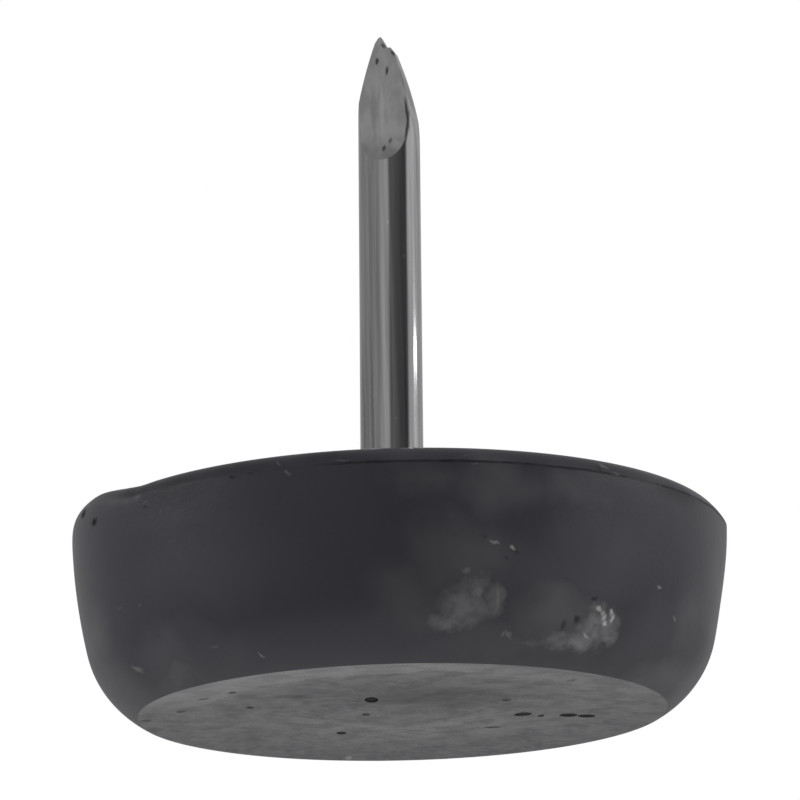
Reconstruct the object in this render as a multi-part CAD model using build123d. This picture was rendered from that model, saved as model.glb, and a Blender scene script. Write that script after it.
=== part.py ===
"""Nail-in furniture glide: a black moulded foot on a steel wire nail.

The frame stands on the middle of the sole: +Z runs up along the nail and -Y is the front.
Lengths are in millimetres and angles in degrees.
"""
from build123d import *
import os
from math import cos, radians, sin, sqrt

os.makedirs("parts", exist_ok=True)

# Foot: a round moulding, widest at the crease under its rolled rim
base_diameter = 20.0
base_height = 6.0
rim_height = 0.55        # from the widest crease up to the seat face
rim_radius = 1.0         # roll of the rim, running out flat into the seat face
side_lean = 2.0          # inward lean of the side just below the rim, in degrees
shoulder_height = 2.0    # where the side passes into the rounder shoulder
shoulder_inset = 0.45    # radial, from the widest crease
sole_inset = 1.95        # radial, from the widest crease to the sharp edge of the sole

# Sink mark that the thick middle leaves in the sole as it cools
sink_depth = 0.1
sink_spread = 2.4        # how far it reaches beyond the nail's head

# Nail: plain round wire above the seat face, with a flat head and grip grooves inside the foot
nail_diameter = 1.95
nail_projection = 15.9   # from the seat face to the tip
head_diameter = 4.6
head_thickness = 0.7
head_cover = 1.5         # plastic between the head and the level of the sole
grip_pitch = 0.55
grip_depth = 0.07

# Point: four pinched facets, the front and back flat with a hollow lip, the flanks bowed
point_turn = 15.5        # the front facet faces this far round from -Y, in degrees
face_length = 4.42       # front and back facets, from the lip to the tip
lip_length = 1.02        # hollow lower end of the front and back facets
lip_thickness = 1.22     # of the wire that is left where the lip begins
left_flank_length = 3.25
left_bow_radius = 19.0
right_flank_length = 4.6
tip_thickness = 0.28
tip_width = 0.62
tip_offset = 0.076       # the pinched end sits this far off the axis

# Torn end, left to right: a tall prong and a lower one beside it.
# Each point is a share of the tip's width from its middle, and a share of the tear's depth below the tip.
tear_depth = 0.56
torn_end_shares = ((-0.50, 0.29), (-0.22, 0.0), (0.105, 0.66), (0.285, 0.62), (0.50, 1.0))

base_radius = base_diameter / 2
nail_radius = nail_diameter / 2
head_radius = head_diameter / 2
head_top = head_cover + head_thickness
tip_height = base_height + nail_projection
point_base = tip_height - max(face_length, left_flank_length, right_flank_length) - nail_radius


def foot_body():
    """The moulding before the nail's place is taken out of it, turned from its half section."""
    sink_radius = head_radius + sink_spread
    rim_width = sqrt(rim_height * (2 * rim_radius - rim_height))
    rim_start = (base_radius - rim_width, base_height)
    crease = (base_radius, base_height - rim_height)
    shoulder = (base_radius - shoulder_inset, shoulder_height)
    sole_edge = (base_radius - sole_inset, 0)
    sink_edge = (sink_radius, 0)
    sink_middle = (0, sink_depth)
    seat_middle = (0, base_height)

    seat = Line(seat_middle, rim_start)
    rim = TangentArc(rim_start, crease, tangent=(1, 0))
    side = TangentArc(crease, shoulder, tangent=(-sin(radians(side_lean)), -cos(radians(side_lean))))
    turn_in = TangentArc(shoulder, sole_edge, tangent=side % 1)
    sole = Line(sole_edge, sink_edge)
    sink = TangentArc(sink_middle, sink_edge, tangent=(1, 0))
    axis = Line(sink_middle, seat_middle)
    half_section = make_face([seat, rim, side, turn_in, sole, sink, axis])
    return revolve(Plane.XZ * half_section, Axis.Z)


def nail_blank():
    """Head, grooved shank and plain shank, turned, up to the stretch that the point is pinched from."""
    grip_length = base_height - head_top
    # An odd number of flanks ends on a full-width crest, level with the seat face
    flanks = 2 * max(1, round(grip_length / grip_pitch)) - 1
    grip = []
    for step in range(flanks + 1):
        depth = grip_depth if step % 2 == 0 else 0
        grip.append((nail_radius - depth, head_top + grip_length * step / flanks))
    half_section = make_face(Polyline(
        (0, head_cover), (head_radius, head_cover), (head_radius, head_top),
        *grip,
        (nail_radius, point_base), (0, point_base),
        close=True,
    ))
    return revolve(Plane.XZ * half_section, Axis.Z)


def pinch_outline(left, end, right):
    """Outline that a pair of cutters leaves, wide of the wire below the two facets and closed by the given end."""
    wide = nail_diameter
    left_foot = left[0] @ 0
    right_foot = right[0] @ 0
    base = Polyline(
        left_foot, (-wide, left_foot.Y), (-wide, point_base), (wide, point_base), (wide, right_foot.Y), right_foot)
    return make_face([*left, end, *right, base])


def flank_outline():
    """The point seen from its front facet: bowed flanks that run up from the wire, and the torn end."""
    torn = []
    for across_share, drop_share in torn_end_shares:
        torn.append((tip_width * across_share - tip_offset, tip_height - tear_depth * drop_share))
    left = RadiusArc((-nail_radius, tip_height - left_flank_length), torn[0], left_bow_radius)
    right = TangentArc((nail_radius, tip_height - right_flank_length), torn[-1], tangent=(0, 1))
    return pinch_outline([left], Polyline(*torn), [right])


def pinched_face(side):
    """A face seen from the flank, on the side given by its sign: a hollow lip and then a flat to the tip."""
    tip = (side * tip_thickness / 2, tip_height)
    lip_end = (side * lip_thickness / 2, tip_height - face_length + lip_length)
    flat = Line(lip_end, tip)
    lip = TangentArc(lip_end, (side * nail_radius, tip_height - face_length), tangent=-(flat % 0))
    return [Edge(lip.wrapped).reversed(), flat]


def face_outline():
    """The point seen from its flank: thinned between the front and back faces to the tip."""
    front = pinched_face(-1)
    back = pinched_face(1)
    return pinch_outline(front, Line(front[1] @ 1, back[1] @ 1), back)


def nail_point():
    """Round wire pinched between two pairs of cutters, then turned to the way it was set in the foot."""
    wire = Pos(0, 0, point_base) * Cylinder(
        nail_radius, tip_height - point_base, align=(Align.CENTER, Align.CENTER, Align.MIN))
    flanks = extrude(Plane.XZ * flank_outline(), nail_diameter, both=True)
    faces = extrude(Plane.YZ * face_outline(), nail_diameter, both=True)
    return Rot(0, 0, -point_turn) * (wire & flanks & faces)


nail = nail_blank() + nail_point()
nail.label = "nail"
nail.color = Color(0.55, 0.55, 0.56)

foot = foot_body() - nail
foot.label = "glide_foot"
foot.color = Color(0.05, 0.05, 0.055)

for piece in (foot, nail):
    export_step(piece, f"parts/{piece.label}.step")
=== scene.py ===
from cmath import phase, rect
from math import asin, cos, pi, radians, sin, sqrt, tan

import bmesh
import bpy
from mathutils import Matrix, Vector


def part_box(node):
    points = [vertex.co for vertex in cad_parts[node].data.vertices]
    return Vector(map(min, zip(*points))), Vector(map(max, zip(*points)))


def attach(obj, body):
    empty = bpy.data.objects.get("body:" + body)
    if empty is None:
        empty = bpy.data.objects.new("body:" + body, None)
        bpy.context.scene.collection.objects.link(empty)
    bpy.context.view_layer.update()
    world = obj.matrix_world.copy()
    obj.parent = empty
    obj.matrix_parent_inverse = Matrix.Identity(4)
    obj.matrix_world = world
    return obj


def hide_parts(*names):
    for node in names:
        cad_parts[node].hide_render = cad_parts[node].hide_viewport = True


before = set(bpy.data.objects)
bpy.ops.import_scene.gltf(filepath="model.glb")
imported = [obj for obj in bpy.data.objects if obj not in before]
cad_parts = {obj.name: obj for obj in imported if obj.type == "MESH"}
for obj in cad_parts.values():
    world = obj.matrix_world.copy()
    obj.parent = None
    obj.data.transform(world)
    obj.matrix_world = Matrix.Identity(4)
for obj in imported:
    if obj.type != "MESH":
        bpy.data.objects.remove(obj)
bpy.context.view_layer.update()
mm = 0.001

# Foot
# A round foot of hard black plastic, moulded in one shot round the head and grip of the nail.
# Its rim rolls over into the seat face, and its sole keeps the pits and scuffs of a hard life.
foot_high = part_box("glide_foot")[1]
foot_radius = foot_high.x
foot_height = foot_high.z
rim_height = 0.55 * mm
rim_radius = 1.0 * mm
rim_width = sqrt(rim_height * (2 * rim_radius - rim_height))
side_lean = 2.0
shoulder_height = 2.0 * mm
shoulder_inset = 0.45 * mm
sole_inset = 1.95 * mm
sole_soft_edge = 0.05 * mm
sink_radius = 4.9 * mm
sink_depth = 0.13 * mm
boss_radius = 1.9 * mm
around_foot = 512


def bow(start, heading, end, steps):
    """Points of the arc that leaves start by heading and ends at end, each as radius + height * 1j."""
    chord = end - start
    half_turn = phase(chord / heading)
    points = []
    for step in range(1, steps + 1):
        share = step / steps
        reach = sin(half_turn * share) / sin(half_turn)
        points.append(start + chord * reach * rect(1, half_turn * (share - 1)))
    return points, heading * rect(1, 2 * half_turn)


def select_where(chosen):
    """Selects the vertices of the mesh in edit mode that the test chooses."""
    mesh = bmesh.from_edit_mesh(bpy.context.object.data)
    for vert in mesh.verts:
        vert.select_set(False)
    for vert in mesh.verts:
        if chosen(vert.co):
            vert.select_set(True)
    mesh.select_flush(True)
    bmesh.update_edit_mesh(bpy.context.object.data)


def turn_rings(name, around, rings):
    """Starts a new piece in edit mode: a ring, extruded along the section and closed at both ends."""
    bpy.ops.object.select_all(action="DESELECT")
    bpy.ops.mesh.primitive_circle_add(vertices=around, radius=rings[0].real, location=(0, 0, 0))
    bpy.context.object.name = name
    bpy.ops.object.mode_set(mode="EDIT")
    bpy.ops.mesh.select_mode(type="VERT")
    bpy.ops.transform.translate(value=(0, 0, rings[0].imag))
    bpy.ops.mesh.edge_face_add()
    for last, ring in zip(rings, rings[1:]):
        lift = (0, 0, ring.imag - last.imag)
        bpy.ops.mesh.extrude_region_move(TRANSFORM_OT_translate={"value": lift})
        spread = ring.real / last.real
        bpy.ops.transform.resize(value=(spread, spread, 1), center_override=(0, 0, 0))
    return bpy.context.object


seat_edge = foot_radius - rim_width + foot_height * 1j
crease = foot_radius + (foot_height - rim_height) * 1j
shoulder = foot_radius - shoulder_inset + shoulder_height * 1j
sole_edge = foot_radius - sole_inset + 0j
rim = bow(seat_edge, 1 + 0j, crease, 14)[0]
side, side_end = bow(crease, rect(1, radians(-90 - side_lean)), shoulder, 34)
turn_in = bow(shoulder, side_end, sole_edge, 26)[0]
seat_shares = (0.3, 0.42, 0.54, 0.66, 0.76, 0.85, 0.92, 0.97, 1.0)
seat = [1.6 * mm + foot_height * 1j] + [seat_edge.real * share + foot_height * 1j for share in seat_shares]


def sole_height(ring_radius):
    """Height of the sole: it sinks in a shallow ring, and stands flat again over the nail's head."""
    outer_share = (sole_edge.real - ring_radius) / (sole_edge.real - sink_radius)
    inner_share = max(0, ring_radius - boss_radius) / (sink_radius - boss_radius)
    return sink_depth * sin(min(1, outer_share, inner_share) * pi / 2)


sole_rings = 40
sole = [sole_edge - sole_soft_edge]
for step in range(1, sole_rings):
    ring_radius = sole_edge.real * (1 - step / sole_rings)
    sole.append(ring_radius + sole_height(ring_radius) * 1j)
foot = turn_rings("foot", around_foot, seat + rim + side + turn_in + sole)
bpy.ops.mesh.merge(type="CENTER")
bpy.ops.mesh.select_all(action="SELECT")
bpy.ops.mesh.normals_make_consistent(inside=False)

# On the left the rim was left full: it stands up into a round corner and runs into the side with no crease
full_rim_middle = -82
full_rim_half = 18
full_rim_fade = 10
full_rim_rise = 0.19 * mm
full_corner_width = 0.25 * mm
full_corner_rise = 0.18 * mm
full_corner_push = 0.065 * mm
full_rim_reach = 0.45 * mm
full_rim_steps = 8
blend_inset = rim_width + 0.2 * mm


def bearing(point):
    """Degrees round the foot, from the front towards the viewer's right."""
    return phase(complex(-point.y, point.x)) / pi * 180


def from_axis(point):
    return sqrt(point.x**2 + point.y**2)


def select_rim(first, last, inset, lowest, highest=foot_height):
    """Selects the rim between two bearings, so far in from the side and at these heights off the crease."""
    select_where(
        lambda point: first < bearing(point) < last and from_axis(point) > foot_radius - inset
        and lowest < point.z - crease.imag < highest)


for step in range(full_rim_steps):
    half = full_rim_half + full_rim_fade * step / (full_rim_steps - 1)
    first = full_rim_middle - half
    last = full_rim_middle + half
    rim_move = (rim_width - 0.1 * mm, full_rim_rise, 0)
    corner_move = (full_corner_width, full_corner_rise, full_corner_push)
    for inset, rise, push in (rim_move, corner_move):
        select_rim(first, last, inset, -0.08 * mm)
        bpy.ops.transform.translate(
            value=(-push / full_rim_steps, 0, rise / full_rim_steps), use_proportional_edit=True,
            proportional_edit_falloff="SMOOTH", proportional_size=full_rim_reach)
    select_rim(first, last, 0.2 * mm, -0.35 * mm, 0.5 * mm)
    bpy.ops.mesh.vertices_smooth(factor=0.5, repeat=3)

# The corner is eased into the side, and then into the rim behind it
for half, depth in ((28, 0.3 * mm), (30, 0.5 * mm), (32, 0.75 * mm), (34, 1.0 * mm)):
    select_rim(full_rim_middle - half, full_rim_middle + half, blend_inset, -depth)
    bpy.ops.mesh.vertices_smooth(factor=0.5, repeat=5)
for turned in (37, 40, 43, 46, 49, 52):
    select_rim(full_rim_middle - turned, full_rim_middle + 0.6 * turned - 46, blend_inset, -0.6 * mm)
    bpy.ops.mesh.vertices_smooth(factor=0.5, repeat=3)

# On the right the rim bulges a little
right_bulge = 0.07 * mm
right_bulge_middle = 96
right_bulge_half = 10
right_bulge_reach = 2.4 * mm
select_rim(
    right_bulge_middle - right_bulge_half, right_bulge_middle + right_bulge_half, 0.3 * mm,
    -0.35 * mm, 0.15 * mm)
bpy.ops.transform.translate(
    value=(right_bulge, 0, 0), use_proportional_edit=True, proportional_edit_falloff="SMOOTH",
    proportional_size=right_bulge_reach)
bpy.ops.object.mode_set(mode="OBJECT")

# Pits: gas holes in the sole that wear has opened, and a few shallow dents: right, back, half width,
# half depth, sink, and how dark the painted shade in them is
pits = (
    (-0.92, -2.39, 0.20, 0.32, 0.14, 0.85), (-1.11, -0.27, 0.12, 0.20, 0.07, 0.32),
    (-1.93, 3.40, 0.15, 0.30, 0.12, 0.66), (3.68, 0.90, 0.27, 0.30, 0.16, 0.92),
    (4.24, 1.32, 0.10, 0.20, 0.08, 0.62), (5.09, 1.33, 0.28, 0.28, 0.16, 0.92),
    (5.65, 1.48, 0.27, 0.24, 0.15, 0.92), (-4.99, -3.76, 0.12, 0.18, 0.03, 0.25),
    (-4.59, -1.16, 0.12, 0.18, 0.04, 0.32), (-6.65, -1.07, 0.16, 0.20, 0.03, 0.22),
    (-5.87, -2.94, 0.18, 0.10, 0.03, 0.26), (3.13, -1.60, 0.15, 0.19, 0.03, 0.16),
    (2.80, 3.05, 0.28, 0.14, 0.03, 0.22))
hollows = []


def carve(piece, cutter):
    """Takes the cutter out of the piece and throws the cutter away."""
    bpy.context.view_layer.objects.active = piece
    taken = piece.modifiers.new("carve", "BOOLEAN")
    taken.operation = "DIFFERENCE"
    taken.solver = "EXACT"
    taken.object = cutter
    bpy.ops.object.modifier_apply(modifier="carve")
    bpy.data.objects.remove(cutter)


bpy.ops.object.select_all(action="DESELECT")
for right, back, half_width, half_depth, sink, darkness in pits:
    bpy.ops.mesh.primitive_uv_sphere_add(
        segments=40, ring_count=20, radius=1, scale=(half_width * mm, half_depth * mm, sink * mm),
        location=(right * mm, back * mm, sole_height(sqrt(right**2 + back**2) * mm)))
    hollows.append(bpy.context.object)
for hole in hollows:
    hole.select_set(True)
bpy.ops.object.join()
carve(foot, bpy.context.object)
bpy.ops.object.select_all(action="DESELECT")
foot.select_set(True)
bpy.context.view_layer.objects.active = foot
bpy.ops.object.shade_smooth_by_angle(angle=radians(20))


class Shade:
    """A socket of a material, so that a pattern is written as a sum of other patterns."""

    def __init__(self, tree, socket):
        self.tree = tree
        self.socket = socket

    def node(self, kind, settings, sockets, output=0):
        """The output of a new node: its settings first, then the values or links of its sockets."""
        new = self.tree.nodes.new(kind)
        for name, value in settings.items():
            if name == "stops":
                while len(new.color_ramp.elements) < len(value):
                    new.color_ramp.elements.new(0.5)
                for element, (place, level) in zip(new.color_ramp.elements, value):
                    element.position = place
                    element.color = (level, level, level, 1)
            else:
                setattr(new, name, value)
        for name, value in sockets.items():
            if isinstance(value, Shade):
                self.tree.links.new(value.socket, new.inputs[name])
            else:
                new.inputs[name].default_value = value
        return Shade(self.tree, new.outputs[output])

    def math(self, operation, first, second):
        return self.node("ShaderNodeMath", {"operation": operation}, {0: first, 1: second})

    def __add__(self, other):
        return self.math("ADD", self, other)

    def __radd__(self, other):
        return self.math("ADD", other, self)

    def __sub__(self, other):
        return self.math("SUBTRACT", self, other)

    def __rsub__(self, other):
        return self.math("SUBTRACT", other, self)

    def __mul__(self, other):
        return self.math("MULTIPLY", self, other)

    def __rmul__(self, other):
        return self.math("MULTIPLY", other, self)

    def __or__(self, other):
        return self.math("MAXIMUM", self, other)

    def step(self, low, high, low_value=0.0, high_value=1.0):
        """A soft step from one value to another as this one goes from low to high."""
        return self.node(
            "ShaderNodeMapRange", {"interpolation_type": "SMOOTHSTEP", "clamp": True},
            {"Value": self, "From Min": low, "From Max": high, "To Min": low_value, "To Max": high_value})

    def noise(self, scale, detail=2.0, roughness=0.5, output=0):
        """Cloudy noise at this place, so many to the metre."""
        return self.node(
            "ShaderNodeTexNoise", {"noise_dimensions": "3D"},
            {"Vector": self, "Scale": scale, "Detail": detail, "Roughness": roughness}, output)

    def stretched(self, spans):
        """This place with its axes scaled, for grain that runs one way."""
        return self.node("ShaderNodeVectorMath", {"operation": "MULTIPLY"}, {0: self, 1: spans})

    def shaken(self, scale, amount):
        """This place shaken by noise, so that outlines drawn on it are ragged."""
        wander = self.noise(scale, 3.0, 0.6, 1)
        middle = (0.5, 0.5, 0.5)
        centred = self.node("ShaderNodeVectorMath", {"operation": "SUBTRACT"}, {0: wander, 1: middle})
        moved = self.node("ShaderNodeVectorMath", {"operation": "SCALE"}, {0: centred, "Scale": amount})
        return self.node("ShaderNodeVectorMath", {"operation": "ADD"}, {0: self, 1: moved})

    def length(self):
        """The distance of this place from the origin."""
        return self.node("ShaderNodeVectorMath", {"operation": "LENGTH"}, {0: self}, "Value")

    def patch(self, centre, spans, turns, inner=0.5):
        """1 in an ellipsoid about centre, fading out from inner of its spans to its edge."""
        local = self.node(
            "ShaderNodeMapping", {"vector_type": "TEXTURE"},
            {"Vector": self, "Location": centre, "Rotation": turns, "Scale": spans})
        return local.length().step(inner, 1.0, 1.0, 0.0)

    def between(self, first, second):
        """The colour that this share of the way from the first colour to the second gives."""
        return self.node(
            "ShaderNodeMix", {"data_type": "RGBA", "clamp_factor": True},
            {"Factor": self, "A": first, "B": second}, "Result")

    def split(self, axis):
        """One coordinate of this place."""
        return self.node("ShaderNodeSeparateXYZ", {}, {0: self}, axis)


def new_finish(name):
    """A new material with its own shader: the material, the shader, and the place on the piece."""
    finish = bpy.data.materials.new(name)
    finish.use_nodes = True
    shader = finish.node_tree.nodes["Principled BSDF"]
    coordinates = finish.node_tree.nodes.new("ShaderNodeTexCoord")
    return finish, shader, Shade(finish.node_tree, coordinates.outputs["Object"])


def feed(shader, name, value):
    """Links a pattern to a socket of a shader."""
    value.tree.links.new(value.socket, shader.inputs[name])


plastic_black = (0.0350, 0.0330, 0.0450, 1)
plastic_oily = (0.008, 0.008, 0.009, 1)
scuff_grey = (0.235, 0.235, 0.245, 1)
scuff_pale = (0.62, 0.62, 0.60, 1)
sole_worn = (0.165, 0.165, 0.168, 1)
# The dull black of the painted shade and of the sole's dark spots
shade_and_spot_black = (0.004, 0.004, 0.004, 1)
black_plastic, plastic_shader, on_foot = new_finish("scuffed_black_plastic")


def side_marks(place, rows, inner):
    """Patches on the side: bearing, height, half width, half height, slope down to the right, strength."""
    whole = None
    for turned, height, half_width, half_height, slope, strength in rows:
        side_radius = 9.3 * mm
        centre = (side_radius * sin(radians(turned)), -side_radius * cos(radians(turned)), height * mm)
        spans = (half_width * mm, 3 * mm, half_height * mm)
        patch = strength * place.patch(centre, spans, (0, radians(slope), radians(turned)), inner)
        whole = patch if whole is None else whole | patch
    return whole


def sole_marks(place, rows):
    """Patches on the sole: distance to the right and back, half width, half depth, turn, strength."""
    whole = None
    for right, back, half_width, half_depth, turn, strength in rows:
        spans = (half_width * mm, half_depth * mm, 1 * mm)
        patch = strength * place.patch((right * mm, back * mm, 0), spans, (0, 0, radians(turn)), 0.5)
        whole = patch if whole is None else whole | patch
    return whole


mottle = on_foot.noise(900, 4.0, 0.6)
fine = on_foot.noise(9000, 2.0, 0.5)
grain = on_foot.noise(3200, 3.0, 0.6)
ragged = on_foot.shaken(1700, 0.6 * mm)
nibbled = on_foot.shaken(5000, 0.22 * mm)

# Two scuffs low on the front, joined by a rubbed arc
left_scuff = (
    (11.6, 1.36, 1.00, 0.70, 0, 0.65), (8.6, 0.98, 0.88, 0.31, 0, 0.60),
    (13.0, 1.95, 0.78, 0.46, 0, 0.48), (9.6, 1.75, 0.90, 0.50, -35, 0.34),
    (15.0, 2.25, 0.48, 0.27, 0, 0.28), (16.6, 1.55, 0.46, 0.66, 0, 0.50))
right_scuff = (
    (37.0, 1.00, 0.92, 0.66, 0, 0.90), (35.6, 0.68, 1.00, 0.32, 0, 0.88),
    (40.3, 1.15, 0.60, 0.60, 0, 0.78), (37.0, 1.58, 0.58, 0.33, 0, 0.52),
    (31.5, 0.70, 1.05, 0.30, -4, 0.62), (41.8, 0.85, 0.47, 0.37, 0, 0.58),
    (36.5, 1.15, 1.70, 1.15, 0, 0.26), (38.7, 0.95, 0.62, 0.55, 0, 0.88))
rubbed_arc = ((26.5, 0.55, 1.20, 0.14, -2, 0.28), (21.5, 0.60, 0.45, 0.10, 10, 0.15))
rubbed_front = (
    (12.0, 3.0, 2.4, 1.9, 0, 0.26), (17.0, 4.8, 2.4, 1.3, 0, 0.28), (25.0, 2.6, 3.2, 2.2, 0, 0.15),
    (29.0, 1.5, 2.4, 1.5, 0, 0.36), (2.5, 1.8, 1.8, 1.4, 0, 0.17), (29.0, 4.9, 2.4, 1.2, 0, 0.19),
    (5.0, 4.9, 1.9, 1.1, 0, 0.22), (18.0, 0.5, 3.2, 0.8, 0, 0.13), (34.0, 2.8, 3.8, 3.0, 0, 0.17),
    (52.0, 1.2, 2.4, 1.6, 0, 0.15), (62.0, 1.7, 1.8, 1.6, 0, 0.21), (64.0, 0.3, 3.0, 0.9, 0, 0.33),
    (80.0, 0.5, 2.2, 1.0, 0, 0.28), (88.0, 3.7, 1.6, 3.0, 0, 0.32), (-36.0, 2.9, 4.2, 2.3, 0, 0.08),
    (-38.0, 0.9, 2.2, 1.1, 0, 0.09), (-49.0, 0.9, 2.4, 1.3, 0, 0.18), (-75.0, 0.5, 3.2, 1.3, 0, 0.17),
    (-52.0, 0.2, 2.4, 0.5, 0, 0.26), (-72.0, 1.8, 1.8, 1.4, 0, 0.17), (58.0, 0.1, 1.3, 0.4, 0, 0.44))
scuffs = side_marks(ragged, left_scuff + right_scuff + rubbed_arc, 0.25)
scuffs = scuffs * grain.step(0.32, 0.60, 0.60, 1.0)
scuffs = scuffs | side_marks(on_foot.shaken(500, 2.0 * mm), rubbed_front, 0.0)

# Small flecks where the skin is chipped and turned up, and dark marks where it is pitted: painted shade, as
# these pits have no dent in the mesh
scuff_flecks = (
    (13.5, 1.76, 0.15, 0.16, 0, 0.10), (17.0, 1.60, 0.08, 0.46, 0, 0.08),
    (11.25, 2.33, 0.17, 0.13, 0, 0.11), (20.0, 0.70, 0.20, 0.07, 45, 0.12),
    (19.1, 0.70, 0.14, 0.07, -40, 0.10), (37.1, 1.55, 0.15, 0.09, 20, 0.55),
    (38.2, 1.45, 0.12, 0.09, 30, 0.40), (38.7, 1.34, 0.10, 0.14, 25, 0.60),
    (39.3, 1.19, 0.14, 0.11, 0, 0.75), (40.1, 1.52, 0.09, 0.13, 0, 0.55),
    (40.7, 1.38, 0.08, 0.15, 10, 0.60), (36.0, 0.82, 0.25, 0.06, 22, 0.35),
    (34.6, 0.60, 0.30, 0.13, 10, 0.08), (41.2, 0.84, 0.26, 0.07, -15, 0.10))
lone_flecks = (
    (16.0, 3.15, 0.20, 0.065, 15, 0.26), (19.3, 3.01, 0.15, 0.085, 30, 0.40),
    (51.2, 2.47, 0.16, 0.06, 15, 0.22), (57.5, 1.72, 0.18, 0.045, 20, 0.17),
    (-27.4, 0.40, 0.14, 0.06, 30, 0.17), (-36.6, 0.78, 0.22, 0.04, 0, 0.05),
    (-58.1, 2.44, 0.24, 0.05, 5, 0.03), (-51.7, 2.32, 0.12, 0.05, 0, 0.04),
    (-60.1, 0.74, 0.34, 0.11, 20, 0.14))
rim_flecks = (
    (-19.8, 5.60, 0.15, 0.05, 45, 0.10), (-18.1, 5.28, 0.16, 0.06, 40, 0.10),
    (37.2, 5.66, 0.20, 0.07, 35, 0.20), (39.3, 5.46, 0.14, 0.06, 35, 0.15),
    (12.8, 5.37, 0.16, 0.04, 0, 0.09), (11.3, 5.63, 0.12, 0.04, -15, 0.07),
    (-9.2, 5.52, 0.42, 0.03, 3, 0.07), (-43.5, 4.80, 0.05, 0.15, 20, 0.05),
    (-47.1, 5.19, 0.18, 0.05, 0, 0.07), (-50.0, 5.68, 0.18, 0.04, 0, 0.07))
flecks = 1.2 * side_marks(nibbled, scuff_flecks + lone_flecks + rim_flecks, 0.25)
pitted_painted_shade = side_marks(nibbled, (
    (-70.5, 5.72, 0.40, 0.19, 0, 0.80), (-64.3, 5.22, 0.36, 0.18, 0, 0.80),
    (-50.6, 5.57, 0.28, 0.08, 10, 0.40), (-47.2, 5.05, 0.18, 0.09, 0, 0.4),
    (32.9, 1.22, 0.17, 0.15, 0, 0.6), (35.7, 1.80, 0.16, 0.10, 0, 0.5), (30.5, 1.04, 0.12, 0.22, 0, 0.4),
    (14.3, 3.31, 0.14, 0.10, 0, 0.3), (19.9, 2.90, 0.16, 0.05, 20, 0.4),
    (18.2, 2.72, 0.10, 0.06, 30, 0.3), (-27.9, 5.36, 0.24, 0.05, 0, 0.5),
    (-24.7, 5.38, 0.20, 0.05, 0, 0.4), (35.6, 5.52, 0.22, 0.12, 35, 0.3)), 0.2)

# Painted shade dulls the rim: dull black patches that darken it and its reflection
rim_painted_shade = side_marks(on_foot.shaken(1500, 0.5 * mm), (
    (-50.0, 5.60, 1.6, 0.55, 0, 0.45), (-40.0, 5.40, 2.4, 1.00, 0, 0.32),
    (-28.0, 5.65, 2.6, 0.50, 0, 0.26), (-12.0, 5.75, 1.6, 0.40, 0, 0.28),
    (56.0, 5.40, 1.9, 0.50, 0, 0.28)), 0.0)

# Sole: worn pale along its near edge, oily over the nail, with a few spots besides the pits
sole_place = on_foot.shaken(650, 2.2 * mm).shaken(2800, 0.5 * mm)
sole_round = sole_place.stretched((1, 1, 0)).length()
foot_round = on_foot.stretched((1, 1, 0)).length()
on_sole = foot_round.step(8.06 * mm, 8.0 * mm) * on_foot.split("Z").step(0.6 * mm, 0.3 * mm)
near_edge = sole_round.step(6.00 * mm, 6.09 * mm) * (0 - on_foot.split("Y")).step(0.5 * mm, 3.5 * mm)
near_edge = near_edge * on_foot.split("X").step(6.0 * mm, -1.0 * mm, 0.30, 1.0)
sole_wear = (near_edge | grain.step(0.42, 0.62, 0.0, 0.34)) * on_sole

# Painted shade lies dark in the crease, from the middle to the right
crease_place = on_foot.shaken(1500, 0.10 * mm).split("Z")
crease_painted_shade = crease_place.step(crease.imag - 0.09 * mm, crease.imag - 0.04 * mm)
crease_painted_shade = crease_painted_shade * crease_place.step(crease.imag + 0.03 * mm, crease.imag)
crease_painted_shade = crease_painted_shade * mottle.step(0.40, 0.55, 0.2, 0.5)
crease_painted_shade = crease_painted_shade * foot_round.step(9.80 * mm, 9.85 * mm)
crease_painted_shade = crease_painted_shade * on_foot.split("X").step(-2.6 * mm, -1.6 * mm)

oily = sole_marks(nibbled, ((0.90, -2.20, 2.60, 1.90, 0, 0.85), ))
# Dark spots on the sole; the one at its left edge is painted shade for a pit that has no dent in the mesh
sole_spots = sole_marks(nibbled, (
    (-7.78, -0.01, 0.22, 0.22, 0, 0.40), (4.97, -4.50, 0.12, 0.45, 20, 0.35),
    (2.52, -6.54, 0.10, 0.35, -35, 0.25), (-1.99, -2.83, 0.25, 0.12, 0, 0.20),
    (-3.25, -2.80, 0.60, 0.34, 0, 0.22)))
# Painted shade darkens the pits, reaching a little past their edges
pit_shade_spread = 1.15
pit_shade = sole_marks(on_foot, [
    (right, back, half_width * pit_shade_spread, half_depth * pit_shade_spread, 0, darkness)
    for right, back, half_width, half_depth, sink, darkness in pits])
sole_flecks = sole_marks(nibbled, (
    (5.55, -3.00, 0.26, 0.22, 0, 0.14), (2.62, -6.40, 0.08, 0.40, -35, 0.08),
    (-1.77, 7.45, 0.13, 0.32, 0, 0.34), (-0.51, 7.95, 0.10, 0.14, 0, 0.20),
    (3.75, 1.48, 0.32, 0.16, 0, 0.08), (5.40, 1.92, 0.50, 0.16, 0, 0.07),
    (-0.90, -1.82, 0.26, 0.15, 0, 0.07), (2.33, 0.55, 0.85, 0.10, -33, 0.05),
    (3.45, 3.24, 0.32, 0.14, 0, 0.05), (-4.55, -4.08, 0.85, 0.12, -40, 0.05),
    (-1.80, -5.42, 0.85, 0.12, -58, 0.05)))

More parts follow.
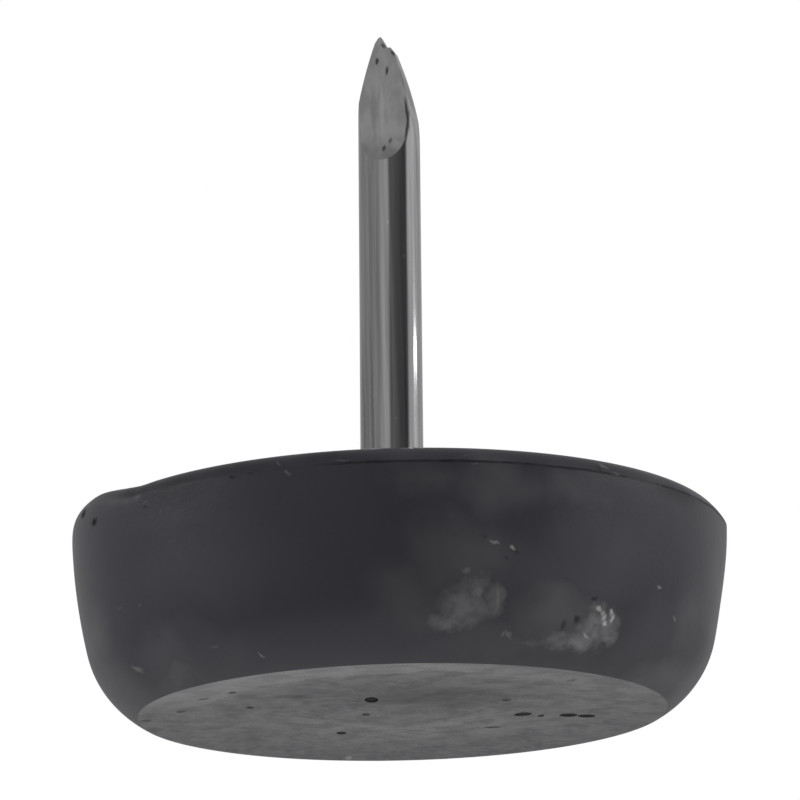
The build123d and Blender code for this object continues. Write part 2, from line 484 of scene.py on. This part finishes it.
plastic_colour = sole_wear.between(plastic_black, sole_worn)
plastic_colour = oily.between(plastic_colour, plastic_oily)
plastic_colour = scuffs.between(plastic_colour, scuff_grey)
plastic_colour = (flecks | sole_flecks).between(plastic_colour, scuff_pale)
feed(plastic_shader, "Base Color", plastic_colour)
sole_polish = on_sole * mottle.step(0.38, 0.62, -0.18, -0.06)
feed(plastic_shader, "Roughness", 0.31 + 0.08 * mottle + 0.14 * scuffs + sole_polish)
plastic_shader.inputs["IOR"].default_value = 1.5
relief = (0.5 * fine + 0.8 * grain) * (1 + 0.8 * on_sole)
plastic_bump = on_foot.node(
    "ShaderNodeBump", {}, {"Strength": 0.25, "Distance": 0.02 * mm, "Height": relief})
feed(plastic_shader, "Normal", plastic_bump)

# Painted shade, dull black, fills the pits, the small pitted marks on the side and rim, and the crease, and
# darkens the rim; the sole's dark spots share the mix
painted_shade_and_spots = pitted_painted_shade | rim_painted_shade | crease_painted_shade | sole_spots | pit_shade
shade_and_spot_shader = on_foot.node(
    "ShaderNodeBsdfPrincipled", {}, {"Base Color": shade_and_spot_black, "Roughness": 0.9, "Specular IOR Level": 0.0})
clean_plastic = Shade(on_foot.tree, plastic_shader.outputs[0])
plastic_with_shade_and_spots = on_foot.node("ShaderNodeMixShader", {}, {0: painted_shade_and_spots, 1: clean_plastic, 2: shade_and_spot_shader})
feed(black_plastic.node_tree.nodes["Material Output"], "Surface", plastic_with_shade_and_spots)
foot.data.materials.append(black_plastic)
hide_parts("glide_foot")
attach(foot, "root")

# Nail
# Bright drawn steel wire with a flat head and grip grooves inside the foot, which was moulded round it.
# Four cutters pinched its point and tore its end in two, and it leans a little in the plastic.
nail_low, nail_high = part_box("nail")
nail_radius = 0.975 * mm
head_radius = 2.3 * mm
head_bottom = nail_low.z
head_top = head_bottom + 0.7 * mm
tip_height = nail_high.z
grip_depth = 0.07 * mm
grip_flanks = 13
nail_lean = radians(0.817)
nail_set_aside = -0.171 * mm
point_turn = radians(-15.5)
around_nail = 128

head = [head_radius * share + head_bottom * 1j for share in (0.4, 0.97)]
head += [head_radius + (head_bottom + 0.06 * mm) * 1j, head_radius + (head_top - 0.06 * mm) * 1j]
head += [head_radius * 0.97 + head_top * 1j]
grip = []
for flank in range(grip_flanks + 1):
    depth = grip_depth if flank % 2 == 0 else 0
    grip.append(nail_radius - depth + (head_top + (foot_height - head_top) * flank / grip_flanks) * 1j)
shank_rings = 120
shank_length = tip_height + 0.1 * mm - foot_height
shank = []
for step in range(1, shank_rings + 1):
    shank.append(nail_radius + (foot_height + shank_length * step / shank_rings) * 1j)
nail = turn_rings("nail_wire", around_nail, head + grip + shank)
bpy.ops.mesh.select_all(action="SELECT")
bpy.ops.mesh.normals_make_consistent(inside=False)

# Flanks: each is a bowed facet, filed by a row of straight cuts that follow its arc
left_start = nail_radius + (tip_height - 3.25 * mm) * 1j
left_end = 0.40 * mm + (tip_height - 0.22 * mm) * 1j
left_bow_radius = 15 * mm
right_start = nail_radius + (tip_height - 4.6 * mm) * 1j
right_end = 0.234 * mm + (tip_height - 0.56 * mm) * 1j
tall_prong = -0.2124 * mm + tip_height * 1j
low_prong = 0.105 * mm + (tip_height - 0.39 * mm) * 1j
notch = 0.005 * mm + (tip_height - 0.41 * mm) * 1j
left_chord = left_end - left_start
left_heading = left_chord / abs(left_chord) * rect(1, -asin(abs(left_chord) / 2 / left_bow_radius))
left_flank = bow(left_start, left_heading, left_end, 10)[0]
right_flank = bow(right_start, 1j, right_end, 16)[0]


def cut_away(first, second, side):
    """Cuts off what lies outside the line from first to second, on the side given by its sign."""
    along = second - first
    outwards = along / abs(along) * -1j * side
    bpy.ops.mesh.select_all(action="SELECT")
    bpy.ops.mesh.bisect(
        plane_co=(first.real, 0, first.imag), plane_no=(outwards.real, 0, outwards.imag),
        use_fill=True, clear_outer=True, threshold=1e-7)


for start, flank, sign in ((left_start, left_flank, -1), (right_start, right_flank, 1)):
    for place in flank:
        cut_away(complex(start.real * sign, start.imag), complex(place.real * sign, place.imag), sign)
        start = place
tip_corner = -0.30 * mm + (tip_height - 0.045 * mm) * 1j
cut_away(complex(-left_end.real, left_end.imag), tip_corner, -1)
cut_away(tip_corner, tall_prong, -1)
cut_away(low_prong, right_end, -1)
bpy.ops.object.mode_set(mode="OBJECT")

# Faces: the front and back are flat, with a hollow lip where the round nose of the cutter came out
lip_start = nail_radius + (tip_height - 4.42 * mm) * 1j
lip_end = 0.61 * mm + (tip_height - 3.4 * mm) * 1j
flat_end = 0.14 * mm + tip_height * 1j
flat_length = abs(flat_end - lip_end)
flat_way = (flat_end - lip_end) / flat_length
lip_chord = lip_start - lip_end
nose_radius = abs(lip_chord) / 2 / sin(abs(phase(lip_chord / -flat_way)))
nose_centre = lip_end - flat_way * 1j * nose_radius
slab_length = flat_length + 0.4 * mm
slab_depth = 1.6 * mm
slab_centre = lip_end + flat_way * slab_length / 2 - flat_way * 1j * slab_depth / 2
cutter_width = 3 * mm

for sign in (-1, 1):
    bpy.ops.object.select_all(action="DESELECT")
    bpy.ops.mesh.primitive_cylinder_add(
        vertices=480, radius=nose_radius, depth=cutter_width, rotation=(0, pi / 2, 0),
        location=(0, sign * nose_centre.real, nose_centre.imag))
    carve(nail, bpy.context.object)
    bpy.ops.object.select_all(action="DESELECT")
    bpy.ops.mesh.primitive_cube_add(
        size=1, scale=(cutter_width, slab_depth, slab_length),
        rotation=(sign * (phase(flat_way) - pi / 2), 0, 0),
        location=(0, sign * slab_centre.real, slab_centre.imag))
    carve(nail, bpy.context.object)

bpy.ops.object.select_all(action="DESELECT")
tear_size = 1 * mm
bpy.ops.mesh.primitive_cube_add(
    size=tear_size, location=(notch.real + 0.5 * tear_size, 0, notch.imag + 0.5 * tear_size))
tear = bpy.context.object
bpy.ops.object.mode_set(mode="EDIT")
select_where(lambda corner: corner.x < 0 and corner.z > 0)
tear_slope = (tall_prong.real - notch.real) / (tall_prong.imag - notch.imag)
bpy.ops.transform.translate(value=(tear_slope * tear_size, 0, 0))
bpy.ops.object.mode_set(mode="OBJECT")
carve(nail, tear)

bpy.ops.object.select_all(action="DESELECT")
nail.select_set(True)
bpy.context.view_layer.objects.active = nail
nail.matrix_world = (
    Matrix.Translation((nail_set_aside - foot_height * tan(nail_lean), 0, 0))
    @ Matrix.Rotation(nail_lean, 4, "Y") @ Matrix.Rotation(point_turn, 4, "Z"))
bpy.ops.object.transform_apply(location=True, rotation=True, scale=True)
bpy.ops.object.shade_smooth_by_angle(angle=radians(20))

# The foot was moulded round the nail, so its socket has the nail's own shape; slivers of the cuts are merged
bpy.ops.object.duplicate()
carve(foot, bpy.context.object)
bpy.ops.object.select_all(action="DESELECT")
foot.select_set(True)
bpy.context.view_layer.objects.active = foot
sliver = 0.0016 * mm
bpy.ops.object.mode_set(mode="EDIT")
bpy.ops.mesh.select_all(action="SELECT")
bpy.ops.mesh.remove_doubles(threshold=sliver)
bpy.ops.object.mode_set(mode="OBJECT")
bpy.ops.object.shade_smooth_by_angle(angle=radians(20))

steel_bright = (0.58, 0.58, 0.59, 1)
steel_dull = (0.40, 0.40, 0.41, 1)
pinched_light = (0.52, 0.52, 0.53, 1)
pinched_dark = (0.42, 0.42, 0.43, 1)
steel_stain_and_shade = (0.07, 0.07, 0.075, 1)
steel_speck = (0.9, 0.9, 0.9, 1)
steel_wire, steel_shader, on_nail = new_finish("drawn_steel_wire")
nail_front = on_nail.shaken(6000, 0.06 * mm).stretched((1, 0, 1))


def nail_marks(rows):
    """Patches on the nail's front: distance right, height, half width, half height, slope, strength."""
    whole = None
    for right, height, half_width, half_height, slope, strength in rows:
        spans = (half_width * mm, 1.0 * mm, half_height * mm)
        centre = (right * mm, 0, height * mm)
        patch = strength * nail_front.patch(centre, spans, (0, radians(slope), 0), 0.35)
        whole = patch if whole is None else whole | patch
    return whole * on_nail.split("Y").step(0.05 * mm, -0.05 * mm)


facing = on_nail.node("ShaderNodeNewGeometry", {}, {}, "Normal")
pinched = facing.split("Z").step(0.05, 0.09)
streaks = on_nail.stretched((1, 1, 0.02)).noise(7000, 3.0, 0.6)
clouds = on_nail.stretched((1, 1, 0.4)).noise(2600, 3.0, 0.5)
wire_colour = streaks.step(0.3, 0.7).between(steel_dull, steel_bright)
pinched_colour = clouds.step(0.35, 0.65).between(pinched_dark, pinched_light)
steel_colour = pinched.between(wire_colour, pinched_colour)

# A painted highlight, a bright band down the middle of the face, and dark nicked spots where the cutters
# tore the steel
ridge_painted_highlight = nail_marks(((-0.20, 19.3, 0.10, 1.3, 0, 0.8), (0.25, 18.0, 0.22, 0.25, -30, 0.7)))
# Painted shade: darker to the left of the bright middle, and a dark line by the tip's right edge; painted
# reflection: two dark bands down the shank
painted_shade_and_reflection = nail_marks((
    (-0.46, 19.3, 0.14, 1.2, 0, 0.25), (-0.62, 18.35, 0.32, 0.75, 0, 0.09),
    (-0.97, 8.6, 0.05, 4.5, 0, 0.45), (-0.70, 8.6, 0.06, 4.5, 0, 0.45),
    (0.62, 20.0, 0.14, 0.95, -17, 0.40)))
# The two marks at 0.59 mm right are a painted dark line, shade along the face's right edge; the others are
# torn steel
nicks_and_edge_shade = nail_marks((
    (-0.32, 21.04, 0.080, 0.17, 4, 0.88), (-0.01, 20.67, 0.065, 0.21, 4, 0.88),
    (-0.11, 21.57, 0.075, 0.13, -25, 0.75), (0.19, 21.26, 0.075, 0.15, -25, 0.80),
    (0.45, 20.52, 0.045, 0.30, -10, 0.45), (-0.16, 17.93, 0.075, 0.16, 15, 0.80),
    (0.04, 18.18, 0.075, 0.15, 25, 0.60), (0.590, 19.10, 0.060, 0.75, -6, 0.90),
    (0.590, 18.62, 0.070, 0.70, 8, 0.92)))
specks = nail_marks((
    (0.38, 14.34, 0.04, 0.10, 0, 0.8), (0.01, 9.09, 0.05, 0.06, 0, 0.6),
    (-0.09, 15.43, 0.04, 0.10, 0, 0.5)))
steel_colour = ridge_painted_highlight.between(steel_colour, steel_bright)
steel_colour = specks.between(steel_colour, steel_speck)
steel_colour = (painted_shade_and_reflection | nicks_and_edge_shade).between(steel_colour, steel_stain_and_shade)
feed(steel_shader, "Base Color", steel_colour)
feed(steel_shader, "Roughness", 0.04 + 0.04 * streaks + 0.33 * pinched)
steel_shader.inputs["Metallic"].default_value = 1.0
nail.data.materials.append(steel_wire)
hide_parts("nail")
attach(nail, "root")

# Floor and light
# A plain pale floor that shows from above only, so that light reaches the sole as it did in the picture.
# Soft lamps stand round a grey studio, with a dark gap at the front right and a white backdrop.
floor_drop = 0.02 * mm
floor_radius = 0.25
bpy.ops.object.select_all(action="DESELECT")
bpy.ops.mesh.primitive_circle_add(vertices=128, radius=floor_radius, fill_type="NGON", location=(0, 0, 0))
floor = bpy.context.object
floor.name = "floor"
floor.location.z = -floor_drop
bpy.ops.object.transform_apply(location=True)
pale_floor, floor_shader, on_floor = new_finish("pale_floor")
floor_shader.inputs["Base Color"].default_value = (0.8, 0.8, 0.8, 1)
floor_shader.inputs["Roughness"].default_value = 0.9
floor_shader.inputs["Specular IOR Level"].default_value = 0.1
seen_from = on_floor.node("ShaderNodeNewGeometry", {}, {}, "Backfacing")
seen_by_camera = on_floor.node("ShaderNodeLightPath", {}, {}, "Is Camera Ray")
fade = on_floor.length().step(floor_radius * 0.35, floor_radius * 0.95, 1.0, 0.0)
shown = seen_by_camera * (1 - seen_from) * fade
clear = on_floor.node("ShaderNodeBsdfTransparent", {}, {})
floor_mix = on_floor.node(
    "ShaderNodeMixShader", {}, {0: shown, 1: clear, 2: Shade(clear.tree, floor_shader.outputs[0])})
feed(pale_floor.node_tree.nodes["Material Output"], "Surface", floor_mix)
floor.data.materials.append(pale_floor)

studio = bpy.data.worlds.new("studio")
studio.use_nodes = True
bpy.context.scene.world = studio
studio_light = studio.node_tree.nodes["Background"]
direction_node = studio.node_tree.nodes.new("ShaderNodeTexCoord")
direction = Shade(studio.node_tree, direction_node.outputs["Generated"])
turn_round = direction.node(
    "ShaderNodeMath", {"operation": "ARCTAN2"}, {0: direction.split("X"), 1: 0 - direction.split("Y")})
share_round = turn_round * (0.5 / pi) + 0.5
level_round = (
    (-180, 0.44), (-110, 0.30), (-50, 0.30), (-22, 0.47), (-10, 0.47), (0, 0.16), (14, 0.13), (56, 0.06),
    (63, 0.10), (70, 0.52), (98, 0.64), (125, 0.46), (180, 0.44))
level_above = (0.27, 0.27, 0.27, 1)
level_low = (0.345, 0.345, 0.345, 1)
level_under = (0.64, 0.64, 0.64, 1)
surround = direction.node(
    "ShaderNodeValToRGB", {"stops": [(angle / 360 + 0.5, level) for angle, level in level_round]},
    {"Fac": share_round})
rise = direction.split("Z")
front_left = turn_round.step(radians(-85), radians(-60)) * turn_round.step(radians(5), radians(-12))
surround = (rise - 0.2 * front_left).step(0.50, 0.70).between(surround, level_above)
surround = (0 - rise).step(-0.10, 0.0).between(surround, level_low)
surround = (0 - rise).step(0.55, 0.80).between(surround, level_under)
camera_sees = direction.node("ShaderNodeLightPath", {}, {}, "Is Camera Ray")
seen = camera_sees.between(surround, (1, 1, 1, 1))
feed(studio_light, "Color", seen)
studio_light.inputs["Strength"].default_value = 1.0


def soft_lamp(name, place, aim, width, height, power):
    """A flat lamp that faces a point."""
    lamp = bpy.data.lights.new(name, "AREA")
    lamp.shape = "RECTANGLE"
    lamp.size = width
    lamp.size_y = height
    lamp.energy = power
    stand = bpy.data.objects.new(name, lamp)
    stand.location = place
    stand.rotation_euler = (Vector(aim) - Vector(place)).to_track_quat("-Z", "Y").to_euler()
    bpy.context.scene.collection.objects.link(stand)
    return stand


middle = (0, 0, 0.008)
soft_lamp("left_lamp", (-0.290, -0.02, 0.156), middle, 0.10, 0.035, 0.40)
soft_lamp("right_lamp", (0.285, -0.02, 0.163), middle, 0.10, 0.035, 0.34)
soft_lamp("strip_lamp", (0.379, 0.0737, 0.1160), (0, 0, 0.011), 0.12, 0.004, 0.006)

# Camera
# A long lens a little below the sole, tilted up, as the picture was taken.
# Its place and lens follow from the outline of the foot and nail in the picture.
photo_width = 800
lens_pixels = 3795.08
camera_place = (0, -113.72 * mm, -21.01 * mm)
camera_pan = radians(0.0758)
camera_tilt = radians(15.2155)
camera_roll = radians(-1.3873)
view_camera = bpy.data.cameras.new("camera")
view_camera.sensor_width = 36
view_camera.lens = 36 * lens_pixels / photo_width
view_camera.clip_start = 0.01
camera = bpy.data.objects.new("camera", view_camera)
camera.matrix_world = (
    Matrix.Translation(camera_place) @ Matrix.Rotation(-camera_pan, 4, "Z")
    @ Matrix.Rotation(pi / 2 + camera_tilt, 4, "X") @ Matrix.Rotation(camera_roll, 4, "Z"))
bpy.context.scene.collection.objects.link(camera)
bpy.context.scene.camera = camera
bpy.context.scene.view_settings.view_transform = "Standard"
